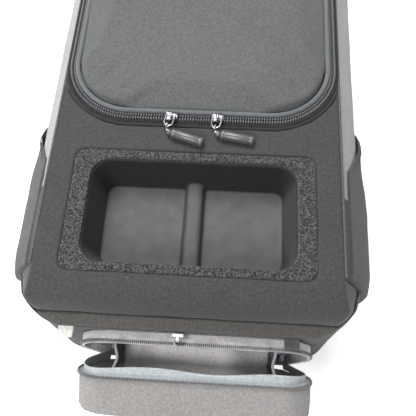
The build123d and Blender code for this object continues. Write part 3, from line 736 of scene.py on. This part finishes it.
SLIDER_Y = -0.0200
SLIDER_BASE = 0.1536
BARREL_Z = 0.1546
BARREL_STEP = -0.0056
BARREL = (
    (0.0022, 0.0), (0.0022, 0.0019), (0.0027, 0.0025), (0.0052, 0.0027), (0.0056, 0.0023),
    (0.0064, 0.0023), (0.0067, 0.0035), (0.0075, 0.0041), (0.0095, 0.0043), (0.0100, 0.0040),
    (0.0106, 0.0043), (0.0322, 0.0043), (0.0328, 0.0040), (0.0334, 0.0043), (0.0352, 0.0042),
    (0.0364, 0.0035), (0.0369, 0.0020), (0.0370, 0.0),
)
LID_PULLS = (
    ("left", "l", -0.024, (-0.02713, -0.03024), radians(-17)),
    ("right", "r", 0.018, (0.01614, -0.03054), radians(-10)),
)
for side, letter, slider_x, apex, yaw in LID_PULLS:
    slider = placed(slider_model(), (slider_x, SLIDER_Y, SLIDER_BASE))
    slider.name = f"zip_slider_{side}"
    finished(slider, metal, [f"lid_slider_{side}"], f"lid_slider_{letter}")
    repaint(f"lid_ring_{side}", metal)
    barrel = turned(f"barrel_pull_{side}", BARREL)
    barrel.data.transform(Matrix.Translation((0, BARREL_STEP, 0)))
    placed(barrel, (*apex, BARREL_Z), yaw)
    finished(barrel, rubber, [f"lid_pull_{side}"], f"lid_pull_{letter}")
    bpy.ops.object.select_all(action="DESELECT")
    bpy.ops.mesh.primitive_torus_add(
        major_segments=24, minor_segments=8, major_radius=0.0027, minor_radius=0.0007
    )
    eye = bpy.context.object
    eye.name = f"barrel_eye_{side}"
    eye.data.transform(Matrix.Rotation(pi / 2, 4, "Y"))
    placed(eye, (*apex, 0.1550), yaw)
    finished(eye, metal, [], f"lid_pull_{letter}")
    bpy.ops.object.select_all(action="DESELECT")
    bpy.ops.mesh.primitive_uv_sphere_add(segments=12, ring_count=8, radius=0.0012)
    seat = bpy.context.object
    seat.name = f"barrel_shank_{side}"
    for point in seat.data.vertices:
        point.co.x *= 1.9
    seat.data.transform(Matrix.Translation((0.0018, BARREL_STEP * 0.72, 0.0)))
    placed(seat, (*apex, BARREL_Z), yaw)
    finished(seat, metal, [], f"lid_pull_{letter}")


# Side pockets: stretch cloth over the near part of each side, sewn down on three sides, with a bound mouth
# that slants down and away.  Their tops are drawn in to the seam.
stretch = cloth(
    "stretch_knit", (0.030, 0.030, 0.032), (0.085, 0.085, 0.09), 0.0013, "Y", "Z", depth=0.0004, mottle=0.04
)
mouth_tape = cloth(
    "mouth_binding", (0.022, 0.022, 0.024), (0.07, 0.07, 0.074), 0.0018, "Y", "Z", depth=0.0004
)
DRAWN_IN = 0.0086
for side in ("left", "right"):
    pouch = rumple(skin_of(f"side_pouch_{side}", f"side_pocket_{side}", 0.0011, 2), 0.035, 0.0018)
    bellied(pouch, DRAWN_IN)
    finished(pouch, stretch, [f"side_pocket_{side}"], "bag")
    edge = bellied(skin_of(f"pouch_binding_{side}", f"side_pocket_binding_{side}", 0.0007, 2), DRAWN_IN)
    finished(edge, mouth_tape, [f"side_pocket_binding_{side}"], "bag")


# Slit zip under the binding: narrow tape, small coil, a bright slider with a cord loop, and folded webbing
# sewn over each end.
finished(skin_of("slit_tape", "slit_zip_tape", 0.0005, 1), zip_cloth, ["slit_zip_tape"], "bag")
SLIT_Z = 0.1052
SLIT_FRONT = -0.2050
small_hoop = hoop_model(0.0020, 0.0014, 0.0004)
slit_line = [Vector((-0.096, SLIT_FRONT, SLIT_Z)), Vector((0.084, SLIT_FRONT, SLIT_Z))]
slit_coil = row_of("slit_hoops", small_hoop, spaced(slit_line, 0.0013), Vector((0, -1, 0)))
finished(slit_coil, nylon, ["slit_zip_coil"], "bag")

bright_cast = Finish("tumbled_zinc", (0.74, 0.74, 0.76), 0.45, metallic=0.55)
bright_cast.tone(bright_cast.noise(0.001), (0.46, 0.46, 0.48), (0.72, 0.72, 0.74))
bright_cast.set("Roughness", bright_cast.noise(0.0015) * 0.3 + 0.3)
repaint("slit_zip_slider", bright_cast)
silver_cord = Finish("braided_cord", (0.5, 0.5, 0.52), 0.5, sheen_weight=0.3)
strand = (silver_cord.axis("Z") + silver_cord.axis("Y") * 0.7).wave(0.0011)
silver_cord.tone(strand * 0.5 + 0.5, (0.30, 0.30, 0.32), (0.68, 0.68, 0.70))
silver_cord.bump(strand, 0.0002)
SLIT_LOOP = (
    (-0.0015, -0.2118, 0.1010), (-0.0025, -0.2107, 0.1052), (-0.006, -0.2104, 0.1056),
    (-0.0095, -0.2107, 0.1052), (-0.0085, -0.2150, 0.1022), (-0.0062, -0.2198, 0.0999),
)
slit_pull = tube("slit_cord_loop", [Vector(place) for place in SLIT_LOOP], 0.0007)
finished(slit_pull, silver_cord, ["slit_zip_pull"], "slit_pull")

pale_webbing = cloth("pale_webbing", (0.52, 0.50, 0.48), (0.80, 0.78, 0.75), 0.0020, "X", "Z", depth=0.0005)
dark_webbing = cloth(
    "dark_webbing", (0.028, 0.028, 0.029), (0.095, 0.095, 0.098), 0.0022, "wall", "Z", depth=0.0006
)
for side, material in (("left", pale_webbing), ("right", dark_webbing)):
    tab = rumple(skin_of(f"end_tab_{side}", f"zip_end_tab_{side}", 0.0006, 4), 0.008, 0.0008)
    finished(tab, material, [f"zip_end_tab_{side}"], "bag")


# Drop pocket: a shallow tray that tips out from its lower edge.  A band of grey cloth with a pale coated
# lining, its zip sewn along three sides, and a slip pocket cut on a slant across its floor.
POCKET_MIDDLE = 0.008
HINGE = Vector((0, -0.217, 0.030))
POCKET_TOP_HALF = 0.122
POCKET_LOW_HALF = 0.082
POCKET_TALL = 0.066
POCKET_CORNER = 0.025
POCKET_TIP = Matrix.Rotation(radians(24), 3, "X")


def pocket_line(step, y, low=0.004):
    """The pocket's rim grown by step, from the left end of the hinge over the top to the right end."""
    top = POCKET_TOP_HALF + step
    foot = POCKET_LOW_HALF + step
    slope = (top - foot) / POCKET_TALL
    crest = POCKET_TALL + step
    corners = ((-foot - slope * low, low), (-top, crest), (top, crest), (foot + slope * low, low))
    points = [Vector((POCKET_MIDDLE + x, y, HINGE.z + z)) for x, z in corners]
    return rounded(points, POCKET_CORNER + step, 16)


def tipped(point):
    """A point of the closed pocket, at its place when the pocket hangs open."""
    return HINGE + POCKET_TIP @ (point - HINGE)


band = cloth("pocket_band_cloth", (0.22, 0.213, 0.207), (0.37, 0.36, 0.352), 0.0012, "wall", "Z", mottle=0.05)
satin = cloth(
    "pale_satin_lining", (0.50, 0.485, 0.475), (0.78, 0.76, 0.75), 0.0010, "X", "Z", roughness=0.36
)
shell = rumple(skin_of("pocket_band", "pocket_shell", 0.0013, 4), 0.05, 0.0030)
finished(shell, band, ["pocket_shell"], "pocket")
lining = rumple(skin_of("pocket_inner_lining", "pocket_lining", 0.0008, 0, 0.4), 0.03, 0.0014)
finished(lining, satin, ["pocket_lining"], "pocket")
cut_flat(lining, 0.35, 0.075, "stretched", "pocket_band")
slip = rumple(skin_of("slip_pocket", "pocket_slip_sheet", 0.0008, 0), 0.04, 0.0010)
finished(slip, satin, ["pocket_slip_sheet"], "pocket")
cut_flat(slip, 0.19, 0.046, "stretched", "pocket_band")


def tipped_row(step, y, gap):
    """Places a gap apart along the open pocket's rim, each with the direction of the rim there."""
    return [(tipped(place), POCKET_TIP @ along) for place, along in spaced(pocket_line(step, y), gap)]


RIM_FACING = POCKET_TIP @ Vector((0, 1, 0))
rim_hoop = hoop_model(0.0026, 0.0022, 0.0005)
rim_hoops = row_of("rim_hoops", rim_hoop, tipped_row(0.0010, -0.2168, 0.0017), RIM_FACING)
finished(rim_hoops, nylon, ["pocket_rim_coil"], "pocket")


def ribbon(name, line, width, lift, toward):
    """Tape sewn to the line, turned inside it and then up the way of toward, with a wavy free edge."""
    points = []
    faces = []
    steps = 5
    for index, (place, along) in enumerate(line):
        inside = toward.cross(along).normalized()
        for step in range(steps + 1):
            share = max(step - 1, 0) / (steps - 1)
            turned_in = 0.0038 * min(step, 1)
            swell = lift * share * (0.5 + 0.5 * sin(index * 0.21) * cos(index * 0.083))
            reach = width * share * (1 + 0.22 * sin(index * 0.17 + 1.1))
            points.append(place + toward * reach + inside * (turned_in + swell))
        if index:
            for step in range(steps):
                corner = index * (steps + 1) + step
                faces.append((corner, corner + 1, corner - steps, corner - steps - 1))
    mesh = bpy.data.meshes.new(name)
    mesh.from_pydata(points, [], faces)
    piece = bpy.data.objects.new(name, mesh)
    bpy.context.collection.objects.link(piece)
    wall = piece.modifiers.new("wall", "SOLIDIFY")
    wall.thickness = 0.0009
    wall.offset = 0
    smooth = piece.modifiers.new("smooth", "SUBSURF")
    smooth.levels = 1
    smooth.render_levels = 1
    fix(piece)
    outward(piece)
    return piece


pale_tape = cloth(
    "pale_rim_tape", (0.33, 0.36, 0.38), (0.52, 0.56, 0.58), 0.0016, "wall", "Z", roughness=0.6, depth=0.0004
)
rim_tape = ribbon("rim_tape", tipped_row(0, -0.2166, 0.003), 0.0078, 0.0016, RIM_FACING)
finished(rim_tape, pale_tape, ["pocket_rim_tape"], "pocket")


# Fixed half of the pocket's zip: a lined frame on the near end with its own coil, the lined back wall
# between them, and two small sliders that hang their pulls from the top run.
fixed_frame = rumple(skin_of("pocket_frame_skin", "pocket_frame", 0.0010, 3), 0.02, 0.0012)
finished(fixed_frame, satin, ["pocket_frame"], "bag")
back = skin_of("pocket_back_cloth", "pocket_back_lining", 0.0012, 1)
finished(back, satin, ["pocket_back_lining"], "bag")
cut_flat(back, 0.199, 0.06, "stretched", "near_end_skin")
frame_places = spaced(pocket_line(0.0010, -0.2132), 0.0017)
frame_hoops = row_of("frame_hoops", rim_hoop, frame_places, Vector((0, -1, 0)))
finished(frame_hoops, nylon, ["pocket_frame_coil"], "bag")

for side in ("left", "right"):
    repaint(f"pocket_slider_{side}", metal)

PULL_EYES = {"left": -0.069, "right": 0.085}
EYE_Y = -0.2125
EYE_Z = 0.0827
CORD_DROP = (
    (-0.0034, 0), (-0.0030, 0.0016), (0, 0.0024), (0.0030, 0.0016), (0.0034, 0), (0.0022, -0.009),
    (0.0005, -0.019),
)
for side, eye_x in PULL_EYES.items():
    hung = [Vector((eye_x + x, EYE_Y, EYE_Z - 0.0016 + z)) for x, z in CORD_DROP]
    stands_for = ["pocket_pull_left"] if side == "left" else []
    loop = tube(f"pocket_cord_{side}", hung, 0.00075)
    finished(loop, silver_cord, stands_for, f"pocket_pull_{side[0]}")
clear = Finish("clear_blue_drop", (0.42, 0.47, 0.56), 0.18, transmission_weight=0.35)
clear.tone(clear.noise(0.004), (0.30, 0.36, 0.46), (0.62, 0.67, 0.75))
TEAR = (
    (0.0, 0.0), (0.0010, 0.0010), (0.0042, 0.0018), (0.0085, 0.0034), (0.0115, 0.0042), (0.0142, 0.0036),
    (0.0158, 0.0018), (0.0162, 0.0),
)
tear = turned("clear_drop", TEAR)
hanging = Matrix.Rotation(pi / 2, 4, "Y")
tear.data.transform(Matrix.Translation((PULL_EYES["right"], EYE_Y, 0.0654)) @ hanging)
finished(tear, clear, ["pocket_pull_right"], "pocket_pull_r")


# Gussets: thin webs between the fixed frame and the tray, which on the bag fold inwards as the pocket shuts;
# here they are fixed sheets that do not follow the pocket.  Each has a pale piped edge along its free top,
# and a loose pale lining hangs across between them.
web_cloth = cloth("gusset_cloth", (0.035, 0.035, 0.038), (0.11, 0.11, 0.116), 0.0010, "Y", "Z")
GUSSET_BASE = (-0.2059, 0.0338)
GUSSET_BASE_TOP = (-0.2059, 0.0838)
GUSSET_LOW = (-0.2158, 0.0338)
GUSSET_TIP = (-0.2400, 0.0816)
GUSSET_BOW = 0.0045
GUSSET_X = -0.062


def grid_sheet(name, place, steps):
    """A thin closed sheet through place(u, v), with u and v from 0 to 1 in that many steps."""
    points = [place(i / steps, j / steps) for i in range(steps + 1) for j in range(steps + 1)]
    faces = []
    for i in range(steps):
        for j in range(steps):
            corner = i * (steps + 1) + j
            faces.append((corner, corner + 1, corner + steps + 2, corner + steps + 1))
    mesh = bpy.data.meshes.new(name)
    mesh.from_pydata(points, [], faces)
    piece = bpy.data.objects.new(name, mesh)
    bpy.context.collection.objects.link(piece)
    wall = piece.modifiers.new("wall", "SOLIDIFY")
    wall.thickness = 0.0009
    wall.offset = 0
    fix(piece)
    outward(piece)
    return piece


def web_place(u, v):
    """A point of the left web: u from the bag to the tray, v from its foot to its free edge."""
    low_y = GUSSET_BASE[0] + (GUSSET_LOW[0] - GUSSET_BASE[0]) * u
    top_y = GUSSET_BASE_TOP[0] + (GUSSET_TIP[0] - GUSSET_BASE_TOP[0]) * u
    top_z = GUSSET_BASE_TOP[1] + (GUSSET_TIP[1] - GUSSET_BASE_TOP[1]) * u - 0.006 * sin(pi * u)
    bow = GUSSET_BOW * sin(pi * u) * sin(pi * min(v * 1.2, 1)) + 0.0012 * sin(9 * u + 3 * v)
    y = low_y + (top_y - low_y) * v
    return Vector((GUSSET_X + bow, y, GUSSET_BASE[1] + (top_z - GUSSET_BASE[1]) * v))


def mirrored(point):
    """The same point of the right web."""
    return Vector((2 * POCKET_MIDDLE - point.x, point.y, point.z))


for side, hand in (("left", Vector), ("right", mirrored)):
    web = grid_sheet(f"gusset_web_{side}", lambda u, v: hand(web_place(u, v)), 16)
    finished(web, web_cloth, [f"gusset_{side}"], None)
    cut_flat(web, 0.036, 0.052, "folded", "pocket_band", "near_end_skin")
    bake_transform(web)
    free_edge = [hand(web_place(step / 16, 1)) for step in range(17)]
    piped = finished(tube(f"gusset_piping_{side}", free_edge, 0.0013), pale_tape, [], None)
    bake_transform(piped)


LOOSE_LEFT = -0.0585
LOOSE_WIDTH = 0.133
LOOSE_BACK = -0.2058
LOOSE_REACH = 0.0445
LOOSE_BASE = 0.0590


def loose_place(u, v):
    """A point of the loose lining: u across between the webs, v from the bag's wall down into the tray."""
    x = LOOSE_LEFT + LOOSE_WIDTH * u
    y = LOOSE_BACK - LOOSE_REACH * v
    sag = 0.004 * sin(pi * v)
    fold = 0.0022 * abs(sin(28 * x + 105 * y)) * sin(pi * v) + 0.0009 * sin(190 * x - 60 * y) * v
    rise = 0.018 * eased(0.066 - abs(x - POCKET_MIDDLE), 0.012, 0.040)
    return Vector((x, y, LOOSE_BASE + rise * (1 - v) - 0.0020 * v - sag + fold))


loose = finished(grid_sheet("loose_pocket_lining", loose_place, 48), satin, [], None)
cut_flat(loose, 0.14, 0.068, "hung", "near_end_skin", "pocket_band")
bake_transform(loose)


# Carry handle on the far end and three loops for the fixing straps: webbing folded and box-stitched on.
for name, node, voxel in (
    ("carry_strap", "carry_handle", 0.0011),
    ("fixing_loop_left", "strap_loop_left", 0.0007),
    ("fixing_loop_right", "strap_loop_right", 0.0007),
    ("fixing_loop_far", "strap_loop_far", 0.0007),
):
    strap = bellied(rumple(skin_of(name, node, voxel, 5), 0.02, 0.0008))
    finished(strap, dark_webbing, [node], "bag")

for model in (one_stitch, lid_hoop, welt_hoop, small_hoop, rim_hoop):
    bpy.data.objects.remove(model)
